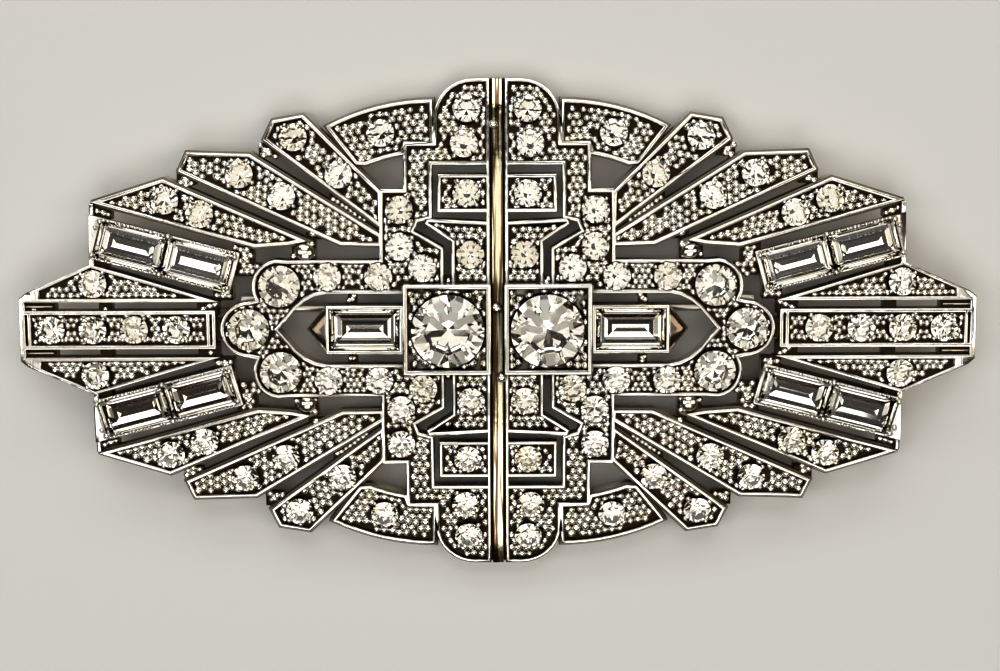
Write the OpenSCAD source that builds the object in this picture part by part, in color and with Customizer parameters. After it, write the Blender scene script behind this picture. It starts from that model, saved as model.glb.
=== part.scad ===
// Wide symmetric brooch: one cast frame with rims, sunk floors and seats, clear stones, and a plain pin behind.
// X runs along the brooch, Y across it and Z out of its front. The origin is under the centre,
// on the surface that the brooch lies on. Outlines are drawn for the quarter with x > 0 and y > 0.

/* [Casting] */
// Width of the whole brooch, tip to tip
brooch_w = 76; // [76:0.5:78]
// Height of the whole brooch, across the two tower heads
brooch_h = 39.5; // [39.2:0.1:39.8]
// Thickness of the casting from rim top to back
casting_t = 1.8; // [1.7:0.05:2]
// How far the front drops from the centre line to the tower heads
dome_rise = 2.6; // [2:0.1:3.2]
// Width of a raised rim
rim_w = 0.3; // [0.24:0.01:0.34]
// Depth of the sunk floors under the rim tops
floor_depth = 0.42; // [0.3:0.01:0.5]
// Width of the low step that runs round the rays, outside their rims
step_w = 0.15; // [0.1:0.01:0.2]
// Width of the rod along the centre line
ridge_w = 0.9; // [0.8:0.05:0.95]
// Height of that rod over the rims
ridge_rise = 0.3; // [0.2:0.05:0.5]
// Flat ground off the back where the tower heads touch the surface
foot_cut = 0.15; // [0.05:0.01:0.2]

/* [Settings] */
// Height of the square settings over the rims
square_rise = 0.6; // [0.4:0.05:0.8]
// Height of the arrow settings over the rims
arrow_rise = 0.45; // [0.3:0.05:0.6]
// Height of the baguette bars over the rims
bar_rise = 0.05; // [0:0.05:0.15]
// Slant of the baguette bars
bar_slant = 14.5; // [14:0.1:15]
// Gap between a stone and its seat
seat_gap = 0.04; // [0.02:0.01:0.06]

/* [Stones] */
// Diameter of the small round stones
small_d = 2.2; // [2:0.05:2.25]
// Diameter of the medium round stones
medium_d = 3.3; // [3.1:0.05:3.4]
// Diameter of the large round stones
large_d = 5.8; // [5.5:0.05:5.9]
// Length of a baguette stone in a slanting bar
bar_stone_l = 5.35; // [5.2:0.05:5.4]
// Width of a baguette stone in a slanting bar
bar_stone_w = 2.95; // [2.8:0.05:3]
// Length of the baguette stone in an arrow
arrow_stone_l = 5.5; // [5.3:0.05:5.5]
// Width of the baguette stone in an arrow
arrow_stone_w = 3.2; // [3:0.05:3.2]

/* [Pin] */
// Diameter of the pin stem
stem_d = 0.8; // [0.7:0.05:0.9]
// Distance of the stem from the centre line
stem_y = 1.35; // [1:0.05:1.6]
// Height of the stem's axis over the surface
stem_z = 0.75; // [0.6:0.05:0.8]
// Length of the hinge block and of the catch
catch_l = 3; // [2.6:0.1:3.4]
// Width of the hinge block and of the catch
catch_w = 2.2; // [2:0.1:2.4]

/* [Hidden] */
half_w = brooch_w / 2;
half_h = brooch_h / 2;
dome_r = (half_h * half_h + dome_rise * dome_rise) / (2 * dome_rise);
apex_z = casting_t + dome_rise - foot_cut;
axis_z = apex_z - dome_r;
prism_h = apex_z + 4;
// Longer than any single setting, for cuts that run past its ends
far = 30;
// Inner edge of the panels beside the centre rod, and the groove between them
inner_x = 0.58;
groove_depth = 0.75;
// Depth of the step round the rays under the rim tops
step_drop = 0.35;
$fn = 64;

// Quarters of the brooch: name, side along X, side along Y
QUARTERS = [
    ["upper_right", 1, 1],
    ["upper_left", -1, 1],
    ["lower_right", 1, -1],
    ["lower_left", -1, -1],
];
// Halves of the brooch: name, side along X
SIDES = [["right", 1], ["left", -1]];

// Small round stones of a quarter: name of the row, centres
STONE_ROWS = [
    ["tower_stones", [[2.63, 14.64], [2.43, 17.38], [2.43, 10.73], [2.15, 5.9]]],
    ["step_stones", [[7.78, 9.44], [7.75, 6.55], [5.95, 4.85]]],
    ["band_stones", [[9.45, 4.17], [13.5, 4.17]]],
    ["arc_stone", [[9.25, 15.47]]],
    ["ray_1_stones", [[12.57, 12.24], [16.17, 15.16]]],
    ["ray_2_stones", [[17.09, 10.55], [20.44, 12.28]]],
    ["ray_3_stones", [[23.58, 9.16], [26.33, 10.25]]],
    ["triangle_stone", [[32.1, 3.68]]],
];
// Small round stones of a half, on the X axis
END_STONES_X = [25.55, 28.9, 32.2, 35.5];
// Medium round stones: at the turn of the band, and in the end lobe
TURN_STONE = [17.3, 3.45];
LOBE_STONE = [19.8, 0];
// Large round stone in the square setting
SQUARE_STONE = [3.95, -0.1];
// Centre of the arrow's baguette, and of the pair in the slanting bar
ARROW_STONE = [10.57, 0];
BAR_MID = [26.4, 5.92];
bar_pitch = bar_stone_l + 0.15;
// Depths of the seats under the rims
small_seat = 1.35;
medium_seat = 1.6;
baguette_seat = 1.25;

// Points along an arc, both ends included
function arc(centre, r, from, to, steps) =
    [for (i = [0:steps]) let(a = from + (to - from) * i / steps) centre + r * [cos(a), sin(a)]];

function area(points) =
    let(n = len(points))
    [for (i = [0:n - 1]) points[i].x * points[(i + 1) % n].y - points[(i + 1) % n].x * points[i].y]
    * [for (i = [0:n - 1]) 0.5];

function reversed(points) = [for (i = [len(points) - 1:-1:0]) points[i]];

// Moves every edge of an outline inwards by the same distance
function inset(points, distance) =
    let(p = area(points) > 0 ? points : reversed(points), n = len(p))
    [for (i = [0:n - 1])
        let(
            u = p[i] - p[(i + n - 1) % n],
            v = p[(i + 1) % n] - p[i],
            nu = [-u.y, u.x] / norm(u),
            nv = [-v.y, v.x] / norm(v)
        )
        p[i] + distance * (nu + nv) / (1 + nu * nv)];

// The scroll of a half: from the inner cusp on the X axis along the band, the step and the tower head,
// and back by the rounded shoulder and the turn to the end lobe
HEAD_CORNER_R = 3.2;
TURN_R = 2.2;
LOBE_R = 2.25;
SCROLL_QUARTER = concat(
    [[16.65, 0.85], [16.05, 1.6], [15.3, 2.25], [14.5, 2.65], [13.6, 2.85]],
    [[7.3, 2.85], [7.3, 3.15], [4.25, 3.15], [4.25, 6.45], [6.55, 7.8], [6.3, 8.45], [5.15, 8.75]],
    [[5.15, 12.95], [inner_x, 12.95], [inner_x, half_h]],
    reversed(arc([5.1 - HEAD_CORNER_R, half_h - HEAD_CORNER_R], HEAD_CORNER_R, 0, 90, 8)),
    [[5.1, 14.74], [7.45, 14.74], [7.45, 11.06], [9.35, 11.06], [9.35, 5.5], [16.6, 5.5]],
    reversed(arc([17.3, 3.4], TURN_R, -28, 82, 8)),
    reversed(arc(LOBE_STONE, LOBE_R, 12, 92, 6))
);
SCROLL = concat(
    [[17.4, 0]],
    SCROLL_QUARTER,
    [[LOBE_STONE.x + LOBE_R, 0]],
    [for (p = reversed(SCROLL_QUARTER)) [p.x, -p.y]]
);

// The other panels of a quarter
INNER_PANEL = [[inner_x, 3.15], [3.66, 3.15], [3.66, 6.9], [5.75, 8.3], [5.6, 8.75], [inner_x, 8.5]];
BOX_PANEL = [[inner_x, 9.22], [4.75, 9.22], [4.75, 12.25], [inner_x, 12.25]];
ARC_CENTRE = [5.1, -0.15];
ARC_PANEL = concat(
    [[5.0, 14.5], [7.2, 14.5]],
    reversed(arc(ARC_CENTRE, 14.1, 68, 80.5, 4)),
    [[11.22, 12.98]],
    arc(ARC_CENTRE, 18.25, 62.2, 90, 8)
);
RAY_1 = [[9.15, 10.86], [15.35, 16.92], [17.82, 16.5], [18.54, 14.95], [9.1, 7.9]];
RAY_2 = [[9.1, 7.45], [19.57, 13.87], [24.62, 14.02], [25.28, 12.49], [12.43, 6.66], [9.1, 6.6]];
RAY_3 = [[15.0, 7.0], [26.47, 11.93], [32.25, 10.1], [19.2, 6.5], [16.5, 6.7]];
STEPPED_PANELS = [ARC_PANEL, RAY_1, RAY_2, RAY_3];
PANELS = concat([INNER_PANEL, BOX_PANEL], STEPPED_PANELS);
TRIANGLE = [[22.0, 2.2], [32.2, 5.27], [37.5, 2.95], [half_w, 2.5], [half_w, 2.2]];
TRIANGLE_FLOOR = [[21.9, 2.2], [32.2, 5.27], [36.6, 3.34], [36.6, 2.2]];

// Slanting bar: from its inner end to the upright plate that closes the fan of rays
bar_inner_end = 5.8;
bar_edge = 0.16;
FAN_END = [[31.9, 5.1], [32.3, 10]];
STEP_END_X = FAN_END[1].x - 0.1;
// End bar of a half, its floor, and the narrow grooves that double the rims at its two ends
END_BAR_X = [22.4, half_w];
end_bar_w = 3.05;
END_FLOOR_X = [23.15, 37.05];
END_GROOVES_X = [[22.7, 22.85], [37.35, 37.5]];
END_PLATE = [[37.5, 0], [half_w, 2.4]];
// Square setting of a half
SQUARE_X = [0.52, 7.5];
square_w = 7.25;
square_rim = 0.35;
square_floor = 0.7;
cup_wall = 0.4;
cup_drop = 0.7;
// Arrow setting of a half: straight part, and a tip of two facets that fall from a ridge
ARROW_X = [7.3, 13.6, 15.2];
arrow_w = 3.9;
arrow_tip_fall = 25;
arrow_side_fall = 13;

// Low links that tie the panels of a quarter together: lowest corner, highest corner
LINKS = [
    [[3.4, 3.2], [4.4, 4.15]],
    [[14.4, 5.2], [16.3, 7.1]],
    [[13.9, 7.1], [15.2, 8.4]],
    [[17.4, 13.6], [18.9, 14.7]],
    [[23.9, 11.4], [25.4, 12.6]],
    [[30.6, 8.7], [31.9, 9.9]],
    [[19.3, 5.0], [20.9, 6.8]],
    [[18.8, 4.2], [20.7, 5.2]],
    [[21.0, 2.3], [22.6, 3.4]],
    [[30.9, 4.7], [32.2, 5.9]],
    [[22.2, 1.1], [23.9, 2.5]],
    [[30.7, 1.1], [31.7, 2.5]],
    [[35.2, 1.1], [37.6, 2.4]],
    [[11.2, 1.7], [11.9, 3.1]],
    [[21.8, 0], [22.6, 0.8]],
];
// Low web that closes the narrow end of the window between the first two rays
WEB = [[9.2, 7.3], [9.2, 8.2], [13.3, 11.3], [13.3, 9.8]];
// Low ribs on the outermost links: lowest corner, highest corner
RIBS = [[[35.3, 1.78], [37.6, 1.95]]];
rib_drop = 0.1;

module in_quarter(quarter) {
    mirror([quarter[1] < 0 ? 1 : 0, 0, 0])
        mirror([0, quarter[2] < 0 ? 1 : 0, 0])
            children();
}

module in_half(side) {
    mirror([side[1] < 0 ? 1 : 0, 0, 0])
        children();
}

module in_all_quarters() {
    for (quarter = QUARTERS)
        in_quarter(quarter)
            children();
}

module in_both_halves() {
    for (side = SIDES)
        in_half(side)
            children();
}

// Puts a shape on the rim surface at a point, its Z axis square to that surface
module on_dome(at) {
    translate([at.x, 0, axis_z])
        rotate([-asin(at.y / dome_r), 0, 0])
            translate([0, 0, dome_r])
                children();
}

// Everything under the rim surface, or under a surface that far below it
module under_dome(depth) {
    translate([0, 0, axis_z])
        rotate([0, 90, 0])
            cylinder(r = dome_r - depth, h = brooch_w + far, center = true, $fn = 360);
}

module prism(outline) {
    translate([0, 0, -1])
        linear_extrude(prism_h)
            polygon(outline);
}

module block(low, high) {
    prism([low, [high.x, low.y], high, [low.x, high.y]]);
}

// Frame: the flat pattern of the casting
module slabs() {
    block([-inner_x - rim_w, -half_h], [inner_x + rim_w, half_h]);
    in_both_halves() {
        prism(SCROLL);
        block([END_BAR_X[0], -end_bar_w / 2], [END_BAR_X[1], end_bar_w / 2]);
    }
    in_all_quarters() {
        for (outline = PANELS)
            prism(outline);
        prism(TRIANGLE);
        block(FAN_END[0], FAN_END[1]);
        block(END_PLATE[0], END_PLATE[1]);
    }
}

// Frame: the low step outside the rims of the rays
module steps() {
    intersection() {
        in_all_quarters()
            for (outline = STEPPED_PANELS)
                prism(inset(outline, -step_w));
        block([-STEP_END_X, -half_h], [STEP_END_X, half_h]);
        under_dome(step_drop);
    }
}

module floors() {
    in_both_halves() {
        prism(inset(SCROLL, rim_w));
        for (x = concat([END_FLOOR_X], END_GROOVES_X))
            block([x[0], -end_bar_w / 2 + rim_w], [x[1], end_bar_w / 2 - rim_w]);
    }
    in_all_quarters() {
        for (outline = PANELS)
            prism(inset(outline, rim_w));
        prism(inset(TRIANGLE_FLOOR, rim_w));
    }
}

module grooves() {
    in_both_halves()
        block([ridge_w / 2, -half_h - 1], [inner_x, half_h + 1]);
}

module rims_and_floors() {
    difference() {
        union() {
            intersection() {
                slabs();
                under_dome(0);
            }
            steps();
        }
        difference() {
            floors();
            under_dome(floor_depth);
        }
        difference() {
            grooves();
            under_dome(groove_depth);
        }
    }
}

module web() {
    intersection() {
        in_all_quarters()
            prism(WEB);
        under_dome(floor_depth);
    }
}

// Blocks of a table in all quarters, up to a depth under the rim surface
module blocks(corners, depth) {
    intersection() {
        in_all_quarters()
            for (pair = corners)
                block(pair[0], pair[1]);
        under_dome(depth);
    }
}

// Frame: rod along the centre line, bent to the dome
module ridge() {
    low = dome_r - casting_t / 2;
    half = ridge_w / 2;
    reach = asin(half_h / dome_r);
    translate([0, 0, axis_z])
        rotate([90 - reach, 0, 0])
            rotate([0, 90, 0])
                rotate_extrude(angle = 2 * reach, $fn = 360)
                    polygon(concat(
                        arc([dome_r + ridge_rise - half, 0], half, -90, 90, 8),
                        [[low, half], [low, -half]]
                    ));
}

// Frame: raised square setting with a cup under it for the large stone
module square_setting() {
    top = apex_z + square_rise;
    width = SQUARE_X[1] - SQUARE_X[0];
    difference() {
        union() {
            translate([SQUARE_X[0], -square_w / 2, apex_z - casting_t])
                cube([width, square_w, casting_t + square_rise]);
            translate([SQUARE_STONE.x, SQUARE_STONE.y, apex_z - casting_t - cup_drop])
                cylinder(d = large_d + 2 * cup_wall, h = casting_t);
        }
        translate([SQUARE_X[0] + square_rim, -square_w / 2 + square_rim, top - square_floor])
            cube([width - 2 * square_rim, square_w - 2 * square_rim, far]);
        translate([SQUARE_STONE.x, SQUARE_STONE.y, apex_z - casting_t - cup_drop + cup_wall])
            cylinder(d = large_d + 2 * seat_gap, h = far);
    }
}

// Frame: raised arrow with a faceted metal tip
module arrow_setting() {
    height = casting_t + arrow_rise;
    translate([0, 0, apex_z - casting_t]) {
        translate([ARROW_X[0], -arrow_w / 2, 0])
            cube([ARROW_X[1] - ARROW_X[0], arrow_w, height]);
        difference() {
            linear_extrude(height)
                polygon([[ARROW_X[1], -arrow_w / 2], [ARROW_X[2], 0], [ARROW_X[1], arrow_w / 2]]);
            for (side = [-1, 1])
                translate([ARROW_X[1], 0, height])
                    rotate([-side * arrow_side_fall, arrow_tip_fall, 0])
                        translate([-far / 2, -far / 2, 0])
                            cube(far);
        }
    }
}

// Frame: slanting bar that holds two baguettes end to end
module baguette_bar() {
    width = bar_stone_w + 2 * (seat_gap + bar_edge);
    on_dome(BAR_MID)
        intersection() {
            rotate([0, 0, bar_slant])
                translate([-bar_inner_end, -width / 2, -casting_t])
                    cube([far, width, casting_t + bar_rise]);
            translate([FAN_END[1].x - BAR_MID.x - far, -far / 2, -far / 2])
                cube(far);
        }
}

// Frame: the rooms of all the baguettes, one long room for the pair in a bar
module baguette_room(length, width) {
    translate([-length / 2 - seat_gap, -width / 2 - seat_gap, -baguette_seat])
        cube([length + 2 * seat_gap, width + 2 * seat_gap, far]);
}

module baguette_rooms() {
    in_both_halves()
        in_arrow()
            baguette_room(arrow_stone_l, arrow_stone_w);
    in_all_quarters()
        in_bar(0)
            baguette_room(bar_pitch + bar_stone_l, bar_stone_w);
}

module in_arrow() {
    translate([ARROW_STONE.x, ARROW_STONE.y, apex_z + arrow_rise - 0.35])
        children();
}

module in_bar(place) {
    on_dome(BAR_MID)
        rotate([0, 0, bar_slant])
            translate([place * bar_pitch, 0, 0])
                children();
}

// Frame: round seats for the small and medium stones
module seat(at, diameter, depth) {
    on_dome(at)
        translate([0, 0, -depth])
            cylinder(d = diameter + 2 * seat_gap, h = far);
}

module seats() {
    in_all_quarters() {
        for (row = STONE_ROWS)
            for (at = row[1])
                seat(at, small_d, small_seat);
        seat(TURN_STONE, medium_d, medium_seat);
    }
    in_both_halves() {
        for (x = END_STONES_X)
            seat([x, 0], small_d, small_seat);
        seat(LOBE_STONE, medium_d, medium_seat);
    }
}

module casting() {
    difference() {
        union() {
            rims_and_floors();
            blocks(LINKS, floor_depth);
            web();
            blocks(RIBS, rib_drop);
            ridge();
        }
        seats();
        under_dome(casting_t);
    }
    in_both_halves() {
        square_setting();
        arrow_setting();
    }
    in_all_quarters()
        baguette_bar();
}

module frame() {
    color("silver")
        intersection() {
            difference() {
                casting();
                baguette_rooms();
            }
            translate([-half_w - far, -half_h - far, 0])
                cube([brooch_w + 2 * far, brooch_h + 2 * far, far]);
        }
}

// Pin behind the frame: hinge block, stem and catch in one piece
module pin_back() {
    end_x = 20.6;
    gap_to_frame = 0.1;
    point_l = 2.2;
    point_d = 0.15;
    back_z = apex_z - casting_t - gap_to_frame;
    color("lightgray") {
        for (side = [-1, 1])
            translate([side > 0 ? end_x - catch_l : -end_x, stem_y - catch_w / 2, 0])
                cube([catch_l, catch_w, back_z]);
        translate([-end_x, stem_y, stem_z])
            rotate([0, 90, 0])
                cylinder(d = stem_d, h = 2 * end_x);
        translate([-end_x, stem_y, stem_z])
            rotate([0, -90, 0])
                cylinder(d1 = stem_d, d2 = point_d, h = point_l);
    }
}

// Round stone with a flat table, a bevelled crown, a girdle and a cut-off cone behind; Z is 0 at the girdle
module round_stone(diameter, crown, pavilion) {
    r = diameter / 2;
    girdle = 0.06;
    table_r = 0.56 * r;
    point_r = 0.12 * r;
    color("white", 0.8)
        rotate_extrude()
            polygon([[0, -pavilion], [point_r, -pavilion], [r, -girdle], [r, girdle],
                [table_r, crown], [0, crown]]);
}

module small_stone(at) {
    on_dome(at)
        translate([0, 0, -0.08])
            round_stone(small_d, 0.4, 1.05);
}

module medium_stone(at) {
    on_dome(at)
        translate([0, 0, -0.02])
            round_stone(medium_d, 0.55, 1.4);
}

module large_stone(at) {
    translate([at.x, at.y, apex_z + square_rise - 0.1])
        round_stone(large_d, 1, 2.55);
}

// Side view of a baguette stone: half width, bevel of the front and of the back
function baguette_side(half, front, back) =
    let(top = 0.5, high = 0.05, low = -0.1, bottom = -1.1)
    [[-half + back, bottom], [half - back, bottom], [half, low], [half, high],
        [half - front, top], [-half + front, top], [-half, high], [-half, low]];

// Baguette stone: long table with bevelled sides and ends, and a shallow cut back; Z is 0 at the girdle
module baguette(length, width) {
    color("white", 0.8)
        intersection() {
            rotate([90, 0, 0])
                linear_extrude(width, center = true)
                    polygon(baguette_side(length / 2, 0.7, 0.7));
            rotate([90, 0, 90])
                linear_extrude(length, center = true)
                    polygon(baguette_side(width / 2, 0.75, 0.9));
        }
}

frame();
pin_back();
for (row = STONE_ROWS, q = QUARTERS)
    in_quarter(q)
            for (at = row[1])
                small_stone(at);
for (s = SIDES)
    in_half(s)
            for (x = END_STONES_X)
                small_stone([x, 0]);
for (q = QUARTERS)
    in_quarter(q) medium_stone(TURN_STONE);
for (s = SIDES)
    in_half(s) medium_stone(LOBE_STONE);
for (s = SIDES)
    in_half(s) large_stone(SQUARE_STONE);
for (s = SIDES)
    in_half(s)
            in_arrow()
                baguette(arrow_stone_l, arrow_stone_w);
for (q = QUARTERS)
    in_quarter(q)
            in_bar(-0.5)
                baguette(bar_stone_l, bar_stone_w);
for (q = QUARTERS)
    in_quarter(q)
            in_bar(0.5)
                baguette(bar_stone_l, bar_stone_w);
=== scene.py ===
import math
import random

import bpy
from mathutils import Matrix, Vector
from mathutils.bvhtree import BVHTree


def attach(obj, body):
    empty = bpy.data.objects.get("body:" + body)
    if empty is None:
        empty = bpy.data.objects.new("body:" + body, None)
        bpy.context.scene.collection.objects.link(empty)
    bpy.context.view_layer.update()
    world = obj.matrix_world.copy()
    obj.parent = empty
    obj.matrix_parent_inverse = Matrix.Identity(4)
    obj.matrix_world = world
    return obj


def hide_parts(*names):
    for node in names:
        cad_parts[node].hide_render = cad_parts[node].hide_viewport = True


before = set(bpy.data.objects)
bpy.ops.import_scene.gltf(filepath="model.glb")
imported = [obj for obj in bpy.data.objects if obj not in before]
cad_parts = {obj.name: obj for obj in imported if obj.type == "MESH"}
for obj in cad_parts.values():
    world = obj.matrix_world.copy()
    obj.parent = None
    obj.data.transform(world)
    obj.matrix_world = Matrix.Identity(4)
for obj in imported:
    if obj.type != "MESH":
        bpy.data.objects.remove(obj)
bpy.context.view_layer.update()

# Sizes are in millimetres, as in the part's source. A finished piece is scaled to metres.
MM = 0.001
# Dome: half its chord across the brooch, its rise, height of its apex; then its radius and axis
HALF_H = 19.75
DOME_RISE = 2.6
APEX_Z = 4.25
DOME_R = (HALF_H ** 2 + DOME_RISE ** 2) / (2 * DOME_RISE)
AXIS_Z = APEX_Z - DOME_R
# Depth of the sunk floors under the dome, height of the centre rod and of the arrows over it
FLOOR_DEPTH = 0.42
RIDGE_RISE = 0.3
ARROW_RISE = 0.45
# Square settings: height over the dome, depth of the floor under their rim, X of both sides, width
SQUARE_RISE = 0.6
SQUARE_FLOOR = 0.7
SQUARE_X = (0.52, 7.5)
SQUARE_W = 7.25
# Tip of each arrow: X where it starts and ends, half its width
ARROW_TIP_X = (13.6, 15.2)
ARROW_TIP_W = 1.95
# Half the width of the centre rod
ROD_HALF_W = 0.45

# Round stones: radius, height of the crown, depth of the back, sink of the girdle under the rim
SMALL = {"r": 1.1, "crown": 0.4, "back": 1.0, "sink": 0.08}
MEDIUM = {"r": 1.65, "crown": 0.55, "back": 1.4, "sink": 0.02}
LARGE = {"r": 2.9, "crown": 1.0, "back": 2.5, "sink": 0.1}
# Baguettes: length, width, and how far the arrow's girdle lies under the rim
BAR_STONE = {"l": 5.35, "w": 2.95}
ARROW_BAGUETTE = {"l": 5.5, "w": 3.2, "sink": 0.35}

# Signs of X and Y in the four quarters, and of X in the two halves
QUARTERS = [("upper_right", 1, 1), ("upper_left", -1, 1), ("lower_right", 1, -1), ("lower_left", -1, -1)]
HALVES = [("right", 1), ("left", -1)]

# Small stones of a quarter: node without its quarter, centres
STONE_ROWS = {
    "tower_stones": [(2.63, 14.64), (2.43, 17.38), (2.43, 10.73), (2.15, 5.9)],
    "step_stones": [(7.78, 9.44), (7.75, 6.55), (5.95, 4.85)],
    "band_stones": [(9.45, 4.17), (13.5, 4.17)],
    "arc_stone": [(9.25, 15.47)],
    "ray_1_stones": [(12.57, 12.24), (16.17, 15.16)],
    "ray_2_stones": [(17.09, 10.55), (20.44, 12.28)],
    "ray_3_stones": [(23.58, 9.16), (26.33, 10.25)],
    "triangle_stone": [(32.1, 3.68)],
}
# Other stones: X or centre
END_STONES_X = [25.55, 28.9, 32.2, 35.5]
TURN_STONE = (17.3, 3.45)
LOBE_STONE = (19.8, 0.0)
SQUARE_STONE = (3.95, -0.1)
ARROW_STONE_X = 10.57
# Slanting bars: middle, slant, distance from stone to stone
BAR_MID = (26.4, 5.92)
BAR_SLANT = math.radians(14.5)
BAR_PITCH = BAR_STONE["l"] + 0.15

random.seed(7)


# Camera: looks down at the brooch, a little from above its upper edge. Its near limit is in metres.
CAMERA_DISTANCE = 150.0
CAMERA_TILT = math.radians(8)
CAMERA_ROLL = math.radians(-0.19)
CAMERA_LENS = 68.0
CAMERA_SENSOR = 36.0
CAMERA_NEAR = 0.001
CAMERA_AIM = (0.18, -0.52, APEX_Z)


def set_up_camera():
    data = bpy.data.cameras.new("camera")
    data.lens = CAMERA_LENS
    data.sensor_width = CAMERA_SENSOR
    data.clip_start = CAMERA_NEAR
    camera = bpy.data.objects.new("camera", data)
    bpy.context.scene.collection.objects.link(camera)
    away = Vector((0, math.sin(CAMERA_TILT), math.cos(CAMERA_TILT)))
    place = (Vector(CAMERA_AIM) + away * CAMERA_DISTANCE) * MM
    turn = Matrix.Rotation(-CAMERA_TILT, 4, "X") @ Matrix.Rotation(CAMERA_ROLL, 4, "Z")
    camera.matrix_world = Matrix.Translation(place) @ turn
    bpy.context.scene.camera = camera


# Softboxes: name, turn from +X and height over the floor in degrees, width and height in metres,
# brightness in watts per square metre, colour
WHITE = (1.0, 1.0, 0.98)
WARM = (1.0, 0.9, 0.76)
SOFTBOXES = [
    ("over", 90, 82, 0.34, 0.24, 3.2, WHITE),
    ("back_high", 90, 52, 0.44, 0.2, 7.0, WHITE),
    ("back_low", 95, 30, 0.8, 0.14, 8.0, WHITE),
    ("left", 180, 55, 0.26, 0.34, 7.0, WHITE),
    ("right", 0, 53, 0.26, 0.32, 6.6, WARM),
    ("front", 268, 56, 0.44, 0.24, 6.2, WHITE),
    ("front_right", 300, 68, 0.2, 0.16, 2.5, WHITE),
    ("front_left", 240, 68, 0.2, 0.16, 0.9, WARM),
    ("top", 265, 80, 0.3, 0.14, 1.4, WHITE),
]
# Distance of the softboxes and size of the floor, in metres
LIGHT_DISTANCE = 0.6
FLOOR_SIZE = 3
FLOOR_COLOUR = (0.78, 0.78, 0.76)
FLOOR_ROUGHNESS = 0.9
ROOM = (0.03, 0.023, 0.017)
# A little more contrast, as a pocket camera gives it
VIEW_EXPOSURE = 0.25
VIEW_GAMMA = 0.8


def add_softbox(name, turn, rise, width, height, brightness, colour):
    data = bpy.data.lights.new(name, "AREA")
    data.shape = "RECTANGLE"
    data.size = width
    data.size_y = height
    data.energy = brightness * width * height
    data.color = colour
    light = bpy.data.objects.new(name, data)
    bpy.context.scene.collection.objects.link(light)
    turn, rise = math.radians(turn), math.radians(rise)
    away = Vector((math.cos(rise) * math.cos(turn), math.cos(rise) * math.sin(turn), math.sin(rise)))
    light.location = away * LIGHT_DISTANCE
    light.rotation_euler = (-away).to_track_quat("-Z", "Y").to_euler()


def set_up_studio():
    """Softboxes round the brooch in a dark room, and the pale floor under it."""
    for softbox in SOFTBOXES:
        add_softbox(*softbox)
    world = bpy.data.worlds.new("studio")
    world.use_nodes = True
    world.node_tree.nodes["Background"].inputs["Color"].default_value = (*ROOM, 1)
    bpy.context.scene.world = world
    view = bpy.context.scene.view_settings
    view.view_transform = "Standard"
    view.exposure = VIEW_EXPOSURE
    view.gamma = VIEW_GAMMA
    deselect()
    bpy.ops.mesh.primitive_plane_add(size=FLOOR_SIZE)
    floor = bpy.context.object
    floor.name = "floor"
    material, shader = new_material("pale_floor")[:2]
    shader.inputs["Base Color"].default_value = (*FLOOR_COLOUR, 1)
    shader.inputs["Roughness"].default_value = FLOOR_ROUGHNESS
    floor.data.materials.append(material)


# Small helpers
def deselect():
    bpy.ops.object.select_all(action="DESELECT")


def make_active(piece):
    deselect()
    piece.select_set(True)
    bpy.context.view_layer.objects.active = piece


def on_dome(x, y, lift=0.0):
    """Place on the rim surface above (x, y), its Z axis square to that surface."""
    lean = -math.asin(y / DOME_R)
    return (
        Matrix.Translation((x, 0, AXIS_Z))
        @ Matrix.Rotation(lean, 4, "X")
        @ Matrix.Translation((0, 0, DOME_R + lift))
    )


def copies_of(master, places, name):
    """One new piece with a copy of the master's mesh at every place."""
    points = [v.co.copy() for v in master.data.vertices]
    faces = [(tuple(f.vertices), f.material_index, f.use_smooth) for f in master.data.polygons]
    verts = []
    polygons = []
    for place in places:
        start = len(verts)
        verts.extend(place @ p for p in points)
        polygons.extend(tuple(i + start for i in f[0]) for f in faces)
    mesh = bpy.data.meshes.new(name)
    mesh.from_pydata(verts, [], polygons)
    mesh.polygons.foreach_set("material_index", [f[1] for f in faces] * len(places))
    mesh.polygons.foreach_set("use_smooth", [f[2] for f in faces] * len(places))
    piece = bpy.data.objects.new(name, mesh)
    bpy.context.scene.collection.objects.link(piece)
    return piece


def remove_master(master):
    bpy.data.objects.remove(master, do_unlink=True)


def finish_piece(piece, slot, *materials):
    """Scales a piece to metres, gives it its materials and puts it on the body."""
    mesh = piece.data
    mesh.transform(Matrix.Scale(MM, 4))
    # Clearing the materials also clears which one each face has, so that is written back
    indices = [face.material_index for face in mesh.polygons]
    mesh.materials.clear()
    for material in materials:
        mesh.materials.append(material)
    mesh.polygons.foreach_set("material_index", indices)
    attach(piece, "root")


# Colours of the materials
SILVER = (0.94, 0.93, 0.89)
CHAMPAGNE = (0.82, 0.7, 0.46)
# Golden: tint of the rim shoulders, partly tarnish and partly a painted warm reflection
GOLDEN_TARNISH_AND_SHEEN = (0.66, 0.5, 0.28)
# Brass: worn plating on the centre rod and its painted bright reflection lines
BRASS_AND_HIGHLIGHT = (0.86, 0.78, 0.55)
# Brown: painted dark reflections on the centre rod and on the arrow tips
REFLECTED_BROWN = (0.13, 0.075, 0.035)
# Patina on the floors, also used as painted shade in crevices and between the beads
PATINA_AND_SHADE = (0.03, 0.019, 0.011)
STEEL = (0.72, 0.7, 0.67)
DULL_STEEL = (0.45, 0.4, 0.33)
CLEAR = (1.0, 1.0, 1.0)
HAZY = (0.95, 0.95, 0.94)
FOIL = (0.93, 0.91, 0.87)
OLD_FOIL = (0.82, 0.77, 0.67)
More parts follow.
